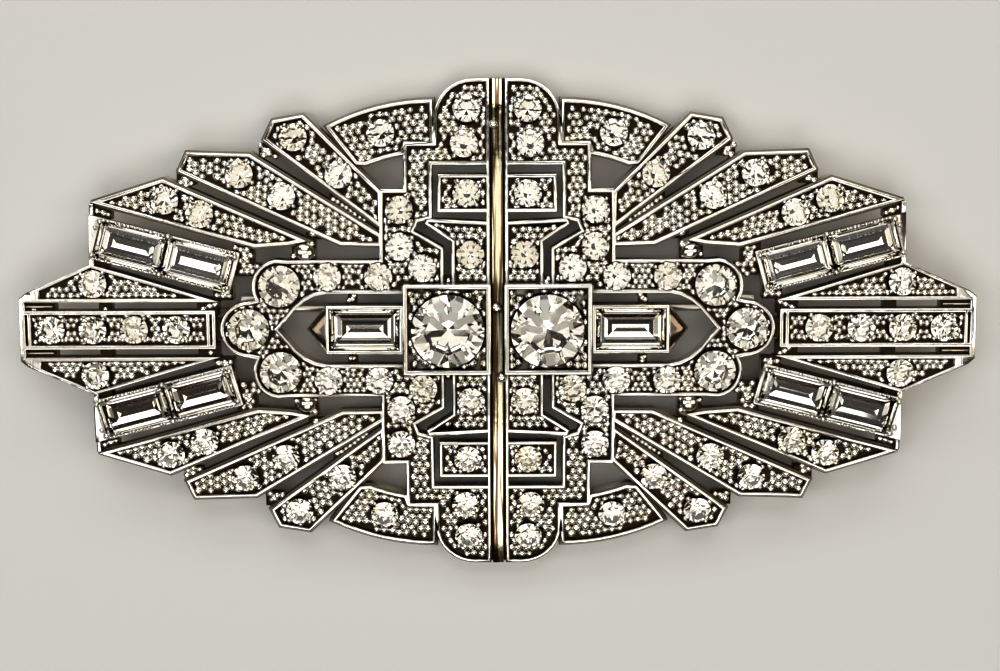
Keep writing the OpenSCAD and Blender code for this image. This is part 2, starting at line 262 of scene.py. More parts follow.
# Noise scales, in cells per metre
CAST_GRAIN = {"Wave Size": 900, "Scratch Size": 9000}
BEAD_GRAIN = {"Wave Size": 2500, "Scratch Size": 12000}
PIN_GRAIN = {"Wave Size": 300, "Scratch Size": 4000}
CLOUD_SCALE = 420
ROD_LINE_SCALE = 4200
PIN_LINE_SCALE = 9000
HAZE_SCALE = 700
SPOT_SCALE = 260
# Detail of each noise: how many finer layers lie on it
WAVE_DETAIL = 1.5
CLOUD_DETAIL = 4
SCRATCH_DETAIL = 2
STONE_DETAIL = 3
# Squeeze of a noise along the scratches and along drawn lines, and slant of the scratches
SCRATCH_SQUEEZE = 0.12
LINE_SQUEEZE = 0.03
SCRATCH_SLANT = 0.6
# Parts of each noise's range that turn it from nothing to full
CLOUD_RANGE = (0.35, 0.7)
ROD_LINE_RANGE = (0.46, 0.54)
PIN_LINE_RANGE = (0.3, 0.7)
HAZE_RANGE = (0.5, 0.8)
SPOT_RANGE = (0.45, 0.75)
# Shares of the scratches in the bump, of tarnish in the plating, of the golden shoulder tint (tarnish and
# a painted warm reflection), and of the painted brown reflection on the arrow tips
SCRATCH_SHARE = 0.12
TARNISH_SHARE = 0.35
GOLDEN_SHARE = 0.5
TIP_REFLECTION_SHARE = 0.85
# Roughness where the surface is clean and where it is tarnished, and what dark places add to it
CAST_POLISH = (0.08, 0.2)
BEAD_POLISH = (0.08, 0.22)
PIN_POLISH = (0.2, 0.38)
GLASS_POLISH = (0.0, 0.05)
DARK_DULL = 0.3
# Bump: height and strength
CAST_BUMP = (0.05 * MM, 0.6)
BEAD_BUMP = (0.03 * MM, 0.5)
PIN_BUMP = (0.02 * MM, 0.4)
# Openness between which crevices turn from painted shade to unshaded, and slopes between which floors turn
# dark with patina
CAST_OPEN = (0.45, 0.92)
BEAD_OPEN = (0.2, 0.65)
UPWARD = (0.3, 0.75)
# Fade at the rod's edge; where the painted dark reflection on an arrow tip starts, and where it ends at
# the tip's edge, which keeps the bright plating
ROD_FADE = 0.08
TIP_REFLECTION_START = (0.04, 0.12)
TIP_REFLECTION_END = (0.78, 0.86)
OPENNESS_SAMPLES = 6
GLASS_IOR = 1.56
FOIL_ROUGHNESS = 0.03
# Depths under the dome between which the metal turns dark with patina, and between which it turns golden
# with tarnish and a painted warm reflection
DARK_DEPTHS = {"Shallow": 0.15 * MM, "Deep": 0.4 * MM}
SHOULDER_DEPTHS = {"Shallow": 0.02 * MM, "Deep": 0.1 * MM}
# Reach of the painted shade in crevices on the casting and between the beads
CAST_CREVICE = 1.4 * MM
BEAD_CREVICE = 0.25 * MM


def new_material(name):
    material = bpy.data.materials.new(name)
    material.use_nodes = True
    tree = material.node_tree
    return material, tree.nodes["Principled BSDF"], tree.nodes, tree.links


def new_group(name, inputs, outputs):
    group = bpy.data.node_groups.new(name, "ShaderNodeTree")
    for socket in inputs:
        group.interface.new_socket(name=socket, in_out="INPUT", socket_type="NodeSocketFloat")
    for socket in outputs:
        group.interface.new_socket(name=socket, in_out="OUTPUT", socket_type="NodeSocketFloat")
    return group, group.nodes.new("NodeGroupInput"), group.nodes.new("NodeGroupOutput")


def add_group(nodes, group, **values):
    node = nodes.new("ShaderNodeGroup")
    node.node_tree = group
    for name, value in values.items():
        node.inputs[name].default_value = value
    return node


def add_math(nodes, links, operation, a, b):
    """Math node; each of a and b is a socket or a number."""
    node = nodes.new("ShaderNodeMath")
    node.operation = operation
    for socket, value in zip(node.inputs, (a, b)):
        if isinstance(value, (int, float)):
            socket.default_value = value
        else:
            links.new(value, socket)
    return node.outputs[0]


def add_range(nodes, links, value, from_min, from_max, to_min, to_max):
    node = nodes.new("ShaderNodeMapRange")
    node.inputs["From Min"].default_value = from_min
    node.inputs["From Max"].default_value = from_max
    node.inputs["To Min"].default_value = to_min
    node.inputs["To Max"].default_value = to_max
    links.new(value, node.inputs["Value"])
    return node.outputs[0]


def add_mix(nodes, links, factor, a, b):
    """Colour mix; each of a and b is a socket or a colour."""
    node = nodes.new("ShaderNodeMix")
    node.data_type = "RGBA"
    links.new(factor, node.inputs["Factor"])
    for name, value in (("A", a), ("B", b)):
        if isinstance(value, tuple):
            node.inputs[name].default_value = (*value, 1)
        else:
            links.new(value, node.inputs[name])
    return node.outputs["Result"]


def add_bump(nodes, links, shader, height, distance, strength):
    bump = nodes.new("ShaderNodeBump")
    bump.inputs["Distance"].default_value = distance
    bump.inputs["Strength"].default_value = strength
    links.new(height, bump.inputs["Height"])
    links.new(bump.outputs["Normal"], shader.inputs["Normal"])


def add_openness(nodes, distance):
    """Ambient occlusion within a distance: 1 on open surfaces, less in crevices."""
    node = nodes.new("ShaderNodeAmbientOcclusion")
    node.samples = OPENNESS_SAMPLES
    node.inputs["Distance"].default_value = distance
    return node.outputs["AO"]


def make_recess_group():
    """Mask by depth under the dome: 0 above the shallow depth, 1 below the deep one."""
    group, source, result = new_group("recess_depth", ["Shallow", "Deep"], ["Mask"])
    nodes, links = group.nodes, group.links
    place = nodes.new("ShaderNodeTexCoord")
    shift = nodes.new("ShaderNodeVectorMath")
    shift.operation = "SUBTRACT"
    shift.inputs[1].default_value = (0, 0, AXIS_Z * MM)
    flat = nodes.new("ShaderNodeVectorMath")
    flat.operation = "MULTIPLY"
    flat.inputs[1].default_value = (0, 1, 1)
    length = nodes.new("ShaderNodeVectorMath")
    length.operation = "LENGTH"
    links.new(place.outputs["Object"], shift.inputs[0])
    links.new(shift.outputs[0], flat.inputs[0])
    links.new(flat.outputs[0], length.inputs[0])
    depth = add_math(nodes, links, "SUBTRACT", DOME_R * MM, length.outputs["Value"])
    spread = nodes.new("ShaderNodeMapRange")
    links.new(depth, spread.inputs["Value"])
    links.new(source.outputs["Shallow"], spread.inputs["From Min"])
    links.new(source.outputs["Deep"], spread.inputs["From Max"])
    links.new(spread.outputs[0], result.inputs["Mask"])
    return group


def make_cast_surface_group():
    """Unevenness of cast and polished metal: slow waves, cloudy tarnish and fine scratches."""
    group, source, result = new_group("cast_surface", ["Wave Size", "Scratch Size"], ["Cloud", "Height"])
    nodes, links = group.nodes, group.links
    place = nodes.new("ShaderNodeTexCoord")
    waves = nodes.new("ShaderNodeTexNoise")
    waves.inputs["Detail"].default_value = WAVE_DETAIL
    links.new(place.outputs["Object"], waves.inputs["Vector"])
    links.new(source.outputs["Wave Size"], waves.inputs["Scale"])
    cloud = nodes.new("ShaderNodeTexNoise")
    cloud.inputs["Detail"].default_value = CLOUD_DETAIL
    cloud.inputs["Scale"].default_value = CLOUD_SCALE
    links.new(place.outputs["Object"], cloud.inputs["Vector"])
    stretch = nodes.new("ShaderNodeMapping")
    stretch.inputs["Scale"].default_value = (1, SCRATCH_SQUEEZE, 1)
    stretch.inputs["Rotation"].default_value = (0, 0, SCRATCH_SLANT)
    links.new(place.outputs["Object"], stretch.inputs["Vector"])
    scratches = nodes.new("ShaderNodeTexNoise")
    scratches.inputs["Detail"].default_value = SCRATCH_DETAIL
    links.new(stretch.outputs["Vector"], scratches.inputs["Vector"])
    links.new(source.outputs["Scratch Size"], scratches.inputs["Scale"])
    fine = add_math(nodes, links, "MULTIPLY", scratches.outputs["Fac"], SCRATCH_SHARE)
    height = add_math(nodes, links, "ADD", waves.outputs["Fac"], fine)
    spread = add_range(nodes, links, cloud.outputs["Fac"], *CLOUD_RANGE, 0.0, 1.0)
    links.new(spread, result.inputs["Cloud"])
    links.new(height, result.inputs["Height"])
    return group


def make_cast_metal(recess, surface):
    """Plating with cloudy tarnish, golden on the shoulders of the rims for tarnish and a painted warm
    reflection, patina on the floors and painted shade in crevices, with brass for worn plating and painted
    bright and dark reflection lines along the centre rod, and a painted brown reflection on the faces of
    the arrow tips."""
    material, shader, nodes, links = new_material("cast_metal")
    shader.inputs["Metallic"].default_value = 1.0
    grain = add_group(nodes, surface, **CAST_GRAIN)
    deep = add_group(nodes, recess, **DARK_DEPTHS)
    # Painted shade: where ambient occlusion finds crevices, the colour turns dark brown, standing in for
    # the shade that falls there
    open_sky = add_openness(nodes, CAST_CREVICE)
    shade = add_range(nodes, links, open_sky, *CAST_OPEN, 1.0, 0.0)
    place = nodes.new("ShaderNodeTexCoord")
    facing = nodes.new("ShaderNodeSeparateXYZ")
    links.new(place.outputs["Normal"], facing.inputs[0])
    upward = add_range(nodes, links, facing.outputs["Z"], *UPWARD, 0.0, 1.0)
    floors = add_math(nodes, links, "MULTIPLY", deep.outputs["Mask"], upward)
    dark = add_math(nodes, links, "MAXIMUM", floors, shade)
    tarnish = add_math(nodes, links, "MULTIPLY", grain.outputs["Cloud"], TARNISH_SHARE)
    clean = add_mix(nodes, links, tarnish, SILVER, CHAMPAGNE)
    # Golden tint on the shoulders of the rims: partly tarnish, partly a painted warm reflection
    shoulder = add_group(nodes, recess, **SHOULDER_DEPTHS)
    golden = add_math(nodes, links, "MULTIPLY", shoulder.outputs["Mask"], GOLDEN_SHARE)
    plate = add_mix(nodes, links, golden, clean, GOLDEN_TARNISH_AND_SHEEN)
    axes = nodes.new("ShaderNodeSeparateXYZ")
    links.new(place.outputs["Object"], axes.inputs[0])
    off_centre = add_math(nodes, links, "ABSOLUTE", axes.outputs["X"], 0)
    # Centre rod: brass for plating worn through, streaked along its length with brown and brass lines that
    # paint in the dark and bright reflections of a round rod
    rod = add_range(nodes, links, off_centre, ROD_HALF_W * MM, (ROD_HALF_W + ROD_FADE) * MM, 1.0, 0.0)
    stretch = nodes.new("ShaderNodeMapping")
    stretch.inputs["Scale"].default_value = (1, LINE_SQUEEZE, LINE_SQUEEZE)
    lines = nodes.new("ShaderNodeTexNoise")
    lines.inputs["Scale"].default_value = ROD_LINE_SCALE
    links.new(place.outputs["Object"], stretch.inputs["Vector"])
    links.new(stretch.outputs["Vector"], lines.inputs["Vector"])
    line = add_range(nodes, links, lines.outputs["Fac"], *ROD_LINE_RANGE, 0.0, 1.0)
    bright = add_mix(nodes, links, rod, plate, add_mix(nodes, links, line, REFLECTED_BROWN, BRASS_AND_HIGHLIGHT))
    # Arrow tips: a painted dark brown reflection over their faces, with the plating left bright along the
    # edge as a painted highlight
    start, end = [x * MM for x in ARROW_TIP_X]
    off_level = add_math(nodes, links, "ABSOLUTE", axes.outputs["Y"], 0)
    reach = add_range(nodes, links, off_centre, start, end, 0.0, 1.0)
    spread = add_range(nodes, links, off_level, 0.0, ARROW_TIP_W * MM, 0.0, 1.0)
    face = add_range(nodes, links, add_math(nodes, links, "ADD", reach, spread), *TIP_REFLECTION_END, 1.0, 0.0)
    tip_reflection_x = [start + x * MM for x in TIP_REFLECTION_START]
    beyond = add_range(nodes, links, off_centre, *tip_reflection_x, 0.0, TIP_REFLECTION_SHARE)
    with_tip_reflection = add_mix(nodes, links, add_math(nodes, links, "MULTIPLY", face, beyond), bright, REFLECTED_BROWN)
    links.new(add_mix(nodes, links, dark, with_tip_reflection, PATINA_AND_SHADE), shader.inputs["Base Color"])
    polish = add_range(nodes, links, grain.outputs["Cloud"], 0.0, 1.0, *CAST_POLISH)
    dull = add_math(nodes, links, "MULTIPLY", dark, DARK_DULL)
    links.new(add_math(nodes, links, "ADD", polish, dull), shader.inputs["Roughness"])
    add_bump(nodes, links, shader, grain.outputs["Height"], *CAST_BUMP)
    return material


def make_bead_metal(surface):
    """Cast beads: bright round tops, and painted shade between them where they crowd together."""
    material, shader, nodes, links = new_material("bead_metal")
    shader.inputs["Metallic"].default_value = 1.0
    grain = add_group(nodes, surface, **BEAD_GRAIN)
    # Painted shade: ambient occlusion darkens the floor between the beads towards dark brown
    open_sky = add_openness(nodes, BEAD_CREVICE)
    dark = add_range(nodes, links, open_sky, *BEAD_OPEN, 1.0, 0.0)
    tarnish = add_math(nodes, links, "MULTIPLY", grain.outputs["Cloud"], TARNISH_SHARE)
    bright = add_mix(nodes, links, tarnish, SILVER, CHAMPAGNE)
    links.new(add_mix(nodes, links, dark, bright, PATINA_AND_SHADE), shader.inputs["Base Color"])
    polish = add_range(nodes, links, grain.outputs["Cloud"], 0.0, 1.0, *BEAD_POLISH)
    links.new(polish, shader.inputs["Roughness"])
    add_bump(nodes, links, shader, grain.outputs["Height"], *BEAD_BUMP)
    return material


def make_pin_steel(surface):
    """Plated wire: dull silver with drawn lines along X."""
    material, shader, nodes, links = new_material("pin_steel")
    shader.inputs["Metallic"].default_value = 1.0
    grain = add_group(nodes, surface, **PIN_GRAIN)
    place = nodes.new("ShaderNodeTexCoord")
    stretch = nodes.new("ShaderNodeMapping")
    stretch.inputs["Scale"].default_value = (LINE_SQUEEZE, 1, 1)
    lines = nodes.new("ShaderNodeTexNoise")
    lines.inputs["Scale"].default_value = PIN_LINE_SCALE
    links.new(place.outputs["Object"], stretch.inputs["Vector"])
    links.new(stretch.outputs["Vector"], lines.inputs["Vector"])
    tone = add_mix(nodes, links, grain.outputs["Cloud"], STEEL, DULL_STEEL)
    links.new(tone, shader.inputs["Base Color"])
    polish = add_range(nodes, links, lines.outputs["Fac"], *PIN_LINE_RANGE, *PIN_POLISH)
    links.new(polish, shader.inputs["Roughness"])
    add_bump(nodes, links, shader, lines.outputs["Fac"], *PIN_BUMP)
    return material


def make_clear_glass():
    """Clear cut glass with the faint haze of old polish."""
    material, shader, nodes, links = new_material("clear_stone")
    shader.inputs["IOR"].default_value = GLASS_IOR
    shader.inputs["Transmission Weight"].default_value = 1.0
    place = nodes.new("ShaderNodeTexCoord")
    haze = nodes.new("ShaderNodeTexNoise")
    haze.inputs["Scale"].default_value = HAZE_SCALE
    haze.inputs["Detail"].default_value = STONE_DETAIL
    links.new(place.outputs["Object"], haze.inputs["Vector"])
    tint = add_mix(nodes, links, haze.outputs["Fac"], CLEAR, HAZY)
    links.new(tint, shader.inputs["Base Color"])
    polish = add_range(nodes, links, haze.outputs["Fac"], *HAZE_RANGE, *GLASS_POLISH)
    links.new(polish, shader.inputs["Roughness"])
    return material


def make_foil():
    """Silvered back of a stone, a little browned in places."""
    material, shader, nodes, links = new_material("stone_foil")
    shader.inputs["Metallic"].default_value = 1.0
    shader.inputs["Roughness"].default_value = FOIL_ROUGHNESS
    place = nodes.new("ShaderNodeTexCoord")
    spots = nodes.new("ShaderNodeTexNoise")
    spots.inputs["Scale"].default_value = SPOT_SCALE
    spots.inputs["Detail"].default_value = STONE_DETAIL
    links.new(place.outputs["Object"], spots.inputs["Vector"])
    age = add_range(nodes, links, spots.outputs["Fac"], *SPOT_RANGE, 0.0, 1.0)
    links.new(add_mix(nodes, links, age, FOIL, OLD_FOIL), shader.inputs["Base Color"])
    return material


# Stones: a blank is cut facet by facet, as on a grinding wheel
GLASS_FACE = 0
FOIL_FACE = 1
# Faces that look down by more than this have the foil
FOIL_NORMAL_Z = -0.05
# Round stones: count of the main facets; half the girdle's height, how far in the main facets of the
# crown end and the stars start, in radii; slopes of the girdle and star facets against the main ones,
# in degrees
MAIN_FACETS = 8
GIRDLE = 0.03
CROWN_REACH = 0.42
STAR_REACH = 0.665
GIRDLE_STEEPER = 5
STAR_FLATTER = 15
BACK_GIRDLE_STEEPER = 1.1
# Most that a stone leans in its seat, in degrees
LEAN = 2.5
LARGE_LEAN = 1


def cut(point, normal):
    """Takes off everything in front of a plane and closes the cut."""
    bpy.ops.mesh.select_all(action="SELECT")
    bpy.ops.mesh.bisect(plane_co=point, plane_no=normal, use_fill=True, clear_outer=True)


def cut_ring(count, first, slope, reach, height, up):
    """Ring of facets; each slopes away from a point at a distance from the axis and at a height."""
    for i in range(count):
        turn = first + math.tau * i / count
        out = Vector((math.cos(turn), math.sin(turn), 0))
        tilt = math.radians(slope)
        normal = out * math.sin(tilt) + Vector((0, 0, up * math.cos(tilt)))
        cut(out * reach + Vector((0, 0, height)), normal)


def foil_the_back(stone):
    """Silvers the facets that look down, and keeps every facet flat."""
    for face in stone.data.polygons:
        face.material_index = FOIL_FACE if face.normal.z < FOIL_NORMAL_Z else GLASS_FACE
        face.use_smooth = False


def cut_round_stone(name, size):
    """Brilliant cut: table, main, girdle and star facets in front, main and girdle facets behind."""
    r, crown, back = size["r"], size["crown"], size["back"]
    girdle = GIRDLE * r
    deselect()
    bpy.ops.mesh.primitive_cylinder_add(
        vertices=4 * MAIN_FACETS, radius=r, depth=crown + back, location=(0, 0, (crown - back) / 2)
    )
    stone = bpy.context.object
    stone.name = name
    bpy.ops.object.transform_apply(location=True, rotation=False, scale=False)
    bpy.ops.object.mode_set(mode="EDIT")
    half_step = math.tau / (2 * MAIN_FACETS)
    quarter_step = math.tau / (4 * MAIN_FACETS)
    crown_slope = math.degrees(math.atan((crown - girdle) / (CROWN_REACH * r)))
    cut_ring(MAIN_FACETS, 0, crown_slope, r, girdle, 1)
    cut_ring(2 * MAIN_FACETS, quarter_step, crown_slope + GIRDLE_STEEPER, r, girdle, 1)
    cut_ring(MAIN_FACETS, half_step, crown_slope - STAR_FLATTER, STAR_REACH * r, crown, 1)
    back_slope = math.degrees(math.atan((back - girdle) / r))
    cut_ring(MAIN_FACETS, 0, back_slope, r, -girdle, -1)
    cut_ring(2 * MAIN_FACETS, quarter_step, back_slope + BACK_GIRDLE_STEEPER, r, -girdle, -1)
    bpy.ops.object.mode_set(mode="OBJECT")
    foil_the_back(stone)
    return stone


# Baguettes: top and bottom of the uncut blank
BLANK_TOP = 0.5
BLANK_BOTTOM = -1.3
# Steps of the crown: slope in degrees, distance in from the edge, height there
CROWN_STEPS = [(58, 0.0, 0.05), (38, 0.12, 0.24), (18, 0.325, 0.4)]
# Profile of the back down to its keel: share of the half width in from the edge, height there
BACK_PROFILE = [(0.0, -0.1), (0.14, -0.34), (0.34, -0.62), (0.58, -0.85), (0.81, -0.98), (1.0, -1.04)]


def cut_baguette(name, size):
    """Step-cut baguette: three steps round the table and five on the back down to a keel."""
    half_l, half_w = size["l"] / 2, size["w"] / 2
    deselect()
    bpy.ops.mesh.primitive_cube_add(size=1, location=(0, 0, (BLANK_TOP + BLANK_BOTTOM) / 2))
    stone = bpy.context.object
    stone.name = name
    stone.scale = (size["l"], size["w"], BLANK_TOP - BLANK_BOTTOM)
    bpy.ops.object.transform_apply(location=True, rotation=False, scale=True)
    bpy.ops.object.mode_set(mode="EDIT")
    steps = [(*step, 1) for step in CROWN_STEPS]
    for (outer, high), (inner, low) in zip(BACK_PROFILE, BACK_PROFILE[1:]):
        slope = math.degrees(math.atan2(high - low, (inner - outer) * half_w))
        steps.append((slope, outer * half_w, high, -1))
    for slope, inset, height, up in steps:
        tilt = math.radians(slope)
        sides = [((1, 0), half_l), ((-1, 0), half_l), ((0, 1), half_w), ((0, -1), half_w)]
        for out, half in sides:
            side = Vector((*out, 0))
            normal = side * math.sin(tilt) + Vector((0, 0, up * math.cos(tilt)))
            cut(side * (half - inset) + Vector((0, 0, height)), normal)
    bpy.ops.object.mode_set(mode="OBJECT")
    foil_the_back(stone)
    return stone


def spun(place, tilt=LEAN):
    """The place with a stone set in by hand: any turn about its axis and a slight lean."""
    lean = math.radians(random.uniform(-tilt, tilt))
    return place @ Matrix.Rotation(random.uniform(0, math.tau), 4, "Z") @ Matrix.Rotation(lean, 4, "X")


def bar_place(sx, sy, along):
    """Place in a slanting bar, at a distance along it from its middle."""
    return (
        on_dome(sx * BAR_MID[0], sy * BAR_MID[1])
        @ Matrix.Rotation(sx * sy * BAR_SLANT, 4, "Z")
        @ Matrix.Translation((sx * along, 0, 0))
    )


def make_stones(glass, foil):
    """Cuts one stone of each kind and sets copies of it, a piece for each node of stones."""
    small = cut_round_stone("small_stone", SMALL)
    medium = cut_round_stone("medium_stone", MEDIUM)
    large = cut_round_stone("large_stone", LARGE)
    bar = cut_baguette("bar_baguette", BAR_STONE)
    arrow = cut_baguette("arrow_baguette", ARROW_BAGUETTE)
    jobs = []
    for quarter, sx, sy in QUARTERS:
        for row, centres in STONE_ROWS.items():
            places = [spun(on_dome(sx * x, sy * y, -SMALL["sink"])) for x, y in centres]
            jobs.append((f"{row}_{quarter}", small, places))
        turn_place = on_dome(sx * TURN_STONE[0], sy * TURN_STONE[1], -MEDIUM["sink"])
        jobs.append((f"turn_stone_{quarter}", medium, [spun(turn_place)]))
        for name, side in (("inner", -0.5), ("outer", 0.5)):
            jobs.append((f"{name}_baguette_{quarter}", bar, [bar_place(sx, sy, side * BAR_PITCH)]))
    for half, sx in HALVES:
        places = [spun(on_dome(sx * x, 0, -SMALL["sink"])) for x in END_STONES_X]
        jobs.append((f"end_bar_stones_{half}", small, places))
        lobe_place = on_dome(sx * LOBE_STONE[0], 0, -MEDIUM["sink"])
        jobs.append((f"lobe_stone_{half}", medium, [spun(lobe_place)]))
        large_z = APEX_Z + SQUARE_RISE - LARGE["sink"]
        large_place = Matrix.Translation((sx * SQUARE_STONE[0], SQUARE_STONE[1], large_z))
        jobs.append((f"square_stone_{half}", large, [spun(large_place, LARGE_LEAN)]))
        arrow_z = APEX_Z + ARROW_RISE - ARROW_BAGUETTE["sink"]
        arrow_place = Matrix.Translation((sx * ARROW_STONE_X, 0, arrow_z))
        jobs.append((f"arrow_baguette_{half}", arrow, [arrow_place]))
    for node, master, places in jobs:
        piece = copies_of(master, places, f"cut_{node}")
        finish_piece(piece, "clear_stone", glass, foil)
        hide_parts(node)
    for master in (small, medium, large, bar, arrow):
        remove_master(master)


# Frame: the casting with every edge rounded
EDGE_ROUND = 0.1
PIN_ROUND = 0.12
EDGE_SEGMENTS = 3
SHARP_EDGE = math.radians(30)
# Vertices nearer than this are joined, and faces nearer to one plane than this are one face
MERGE = 0.002
FLAT_ANGLE = math.radians(0.6)
# Share of the rounding on rims and raised settings, on the thin walls of the slanting bars, on
# lower outer edges, and in corners
RIM_SHARE = 1.0
BAR_SHARE = 0.6
LOW_SHARE = 0.5
CORNER_SHARE = 0.3
# Heights over the dome between which the tops of the slanting bars lie
BAR_TOP = (0.015, 0.09)
# Depth under the dome down to which an edge belongs to a rim
RIM_DEPTH = 0.2


def copy_cad_piece(node_name, name):
    """New piece in millimetres with a CAD node's mesh and none of the node's tags."""
    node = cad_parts[node_name]
    piece = node.copy()
    piece.data = node.data.copy()
    for key in list(piece.keys()):
        del piece[key]
    piece.parent = None
    piece.name = name
    bpy.context.scene.collection.objects.link(piece)
    piece.data.transform(Matrix.Scale(1 / MM, 4))
    return piece


def weigh_edges(mesh):
    """Marks how much each sharp edge is rounded: most on the rims, least in corners."""
    sides = {}
    for face in mesh.polygons:
        ring = list(face.vertices)
        for start, end in zip(ring, ring[1:] + ring[:1]):
            sides.setdefault((min(start, end), max(start, end)), []).append((face.normal, start, end))
    weights = []
    for edge in mesh.edges:
        pair = sides.get(tuple(sorted(edge.vertices)), [])
        weight = 0.0
        if len(pair) == 2 and pair[0][0].angle(pair[1][0], 0.0) > SHARP_EDGE:
            normal, start, end = pair[1]
            a, b = mesh.vertices[start].co, mesh.vertices[end].co
            middle = (a + b) / 2
            depth = DOME_R - math.hypot(middle.y, middle.z - AXIS_Z)
            hollow = pair[0][0].dot(normal.cross(b - a)) > 0
            if hollow:
                weight = CORNER_SHARE
            elif BAR_TOP[0] < -depth < BAR_TOP[1]:
                weight = BAR_SHARE
            else:
                weight = RIM_SHARE if depth < RIM_DEPTH else LOW_SHARE
        weights.append(weight)
    mesh.attributes.new("bevel_weight_edge", "FLOAT", "EDGE").data.foreach_set("value", weights)


def round_edges(piece, width):
    """Joins a CAD mesh's loose triangles into flat faces and rounds the sharp edges between them."""
    make_active(piece)
    bpy.ops.object.mode_set(mode="EDIT")
    bpy.ops.mesh.select_all(action="SELECT")
    bpy.ops.mesh.remove_doubles(threshold=MERGE)
    bpy.ops.mesh.dissolve_limited(angle_limit=FLAT_ANGLE)
    bpy.ops.mesh.vert_connect_concave()
    bpy.ops.object.mode_set(mode="OBJECT")
    weigh_edges(piece.data)
    bevel = piece.modifiers.new("edges", "BEVEL")
    bevel.width = width
    bevel.segments = EDGE_SEGMENTS
    bevel.limit_method = "WEIGHT"
    bevel.use_clamp_overlap = False
    bevel.miter_outer = "MITER_SHARP"
    bpy.ops.object.modifier_apply(modifier="edges")
    bpy.ops.object.shade_smooth_by_angle(angle=SHARP_EDGE)


# One bead of radius 1: faces round it and from pole to pole, height where its lower part is cut off
BEAD_SEGMENTS = 8
BEAD_RINGS = 6
BEAD_FOOT = 0.12


def make_bead():
    """Upper part of a ball of radius 1 about the origin, for beads that stand sunk in the floor."""
    deselect()
    bpy.ops.mesh.primitive_uv_sphere_add(segments=BEAD_SEGMENTS, ring_count=BEAD_RINGS, radius=1)
    bead = bpy.context.object
    bead.name = "bead"
    bpy.ops.object.mode_set(mode="EDIT")
    cut(Vector((0, 0, BEAD_FOOT)), Vector((0, 0, -1)))
    bpy.ops.object.mode_set(mode="OBJECT")
    for face in bead.data.polygons:
        face.use_smooth = True
    return bead


# Fields of beads in a quarter: direction of the rows in degrees, distance between beads, corners
BEAD_FIELDS = [
    (0, 0.62, [(0.5, 2.8), (9.4, 2.8), (9.4, 7.9), (7.5, 11.1), (7.5, 14.8), (5.1, 19.8), (0.5, 19.8)]),
    (0, 0.5, [(9.4, 2.8), (17.5, 0.8), (20.5, 3.0), (19.6, 4.6), (16.6, 5.5), (9.4, 5.5)]),
    (-8, 0.62, [(5.1, 14.5), (11.3, 12.9), (13.7, 16.0), (5.1, 18.1)]),
    (44, 0.64, [(9.1, 7.9), (9.1, 10.9), (15.35, 16.95), (17.85, 16.5), (18.6, 14.95)]),
    (31, 0.64, [(9.1, 6.6), (9.1, 7.5), (19.5, 13.9), (24.7, 14.0), (25.3, 12.45), (12.4, 6.6)]),
    (15, 0.64, [(15.0, 7.0), (26.5, 11.95), (32.3, 10.1), (19.2, 6.5)]),
    (0, 0.58, [(21.9, 2.2), (32.2, 5.3), (36.7, 3.4), (36.7, 2.2)]),
    (0, 0.5, [(22.8, -0.01), (37.1, -0.01), (37.1, 1.6), (22.8, 1.6)]),
    (0, 0.5, [(17.4, -0.01), (22.0, -0.01), (22.0, 1.2), (20.2, 2.3), (17.4, 1.0)]),
]
# Beads on the links between the panels
LINK_FIELDS = [
    (0, 0.5, [(14.4, 5.4), (16.5, 5.6), (16.3, 7.1), (14.4, 7.1)]),
    (40, 0.5, [(16.9, 13.0), (18.9, 13.4), (18.9, 14.7), (17.4, 14.7)]),
    (25, 0.5, [(23.9, 11.4), (25.4, 11.4), (25.4, 12.6), (23.9, 12.6)]),
    (20, 0.5, [(30.6, 8.7), (31.9, 8.7), (31.9, 9.9), (30.6, 9.9)]),
    (0, 0.5, [(18.8, 4.2), (20.9, 4.2), (20.9, 6.8), (18.8, 6.8)]),
    (0, 0.5, [(21.0, 2.0), (22.6, 2.0), (22.6, 3.4), (21.0, 3.4)]),
    (35, 0.42, [(9.2, 7.3), (9.2, 8.2), (13.3, 11.3), (13.3, 9.8)]),
]
# Beads of the fields: radius, distance between rows, least gap, shift and floor needed round each, in
# distances between beads; height in radii; tries at loose beads per square millimetre
BEAD_SIZE = (0.52, 0.68)
BEAD_ROW = 0.9
BEAD_GAP = 0.82
BEAD_SHIFT = 0.1
BEAD_REACH = 0.22
BEAD_TALL = (0.75, 1.05)
FILL_TRIES = 26
# Spread of a bead's length and width, and how deep its middle is sunk, in radii
BEAD_LONG = (0.9, 1.15)
BEAD_WIDE = (0.85, 1.05)
BEAD_SUNK = 0.25
# Start of the rays that feel for the frame, height told where there is none, and how exactly a floor
# is told by its height
RAY_START_Z = 20
NO_FRAME_Z = -100.0
FLOOR_TOLERANCE = 0.03
FEELERS = 6


def inside(x, y, corners):
    """True where a point lies within the polygon of the corners."""
    hit = False
    for i, (x1, y1) in enumerate(corners):
        x2, y2 = corners[i - 1]
        if (y1 > y) != (y2 > y) and x < (x2 - x1) * (y - y1) / (y2 - y1) + x1:
            hit = not hit
    return hit


def height_at(tree, x, y):
    """Height of the frame's upper surface at a point."""
    hit = tree.ray_cast(Vector((x, y, RAY_START_Z)), Vector((0, 0, -1)))[0]
    return hit.z if hit else NO_FRAME_Z


def depth_at(tree, x, y):
    """Depth of that surface under the dome."""
    return DOME_R - math.hypot(y, height_at(tree, x, y) - AXIS_Z)


def on_floor(tree, x, y, reach):
    """True where the sunk floor reaches all round a point."""
    ring = [(x, y)]
    for i in range(FEELERS):
        turn = math.tau * i / FEELERS
        ring.append((x + reach * math.cos(turn), y + reach * math.sin(turn)))
    return all(abs(depth_at(tree, *p) - FLOOR_DEPTH) < FLOOR_TOLERANCE for p in ring)


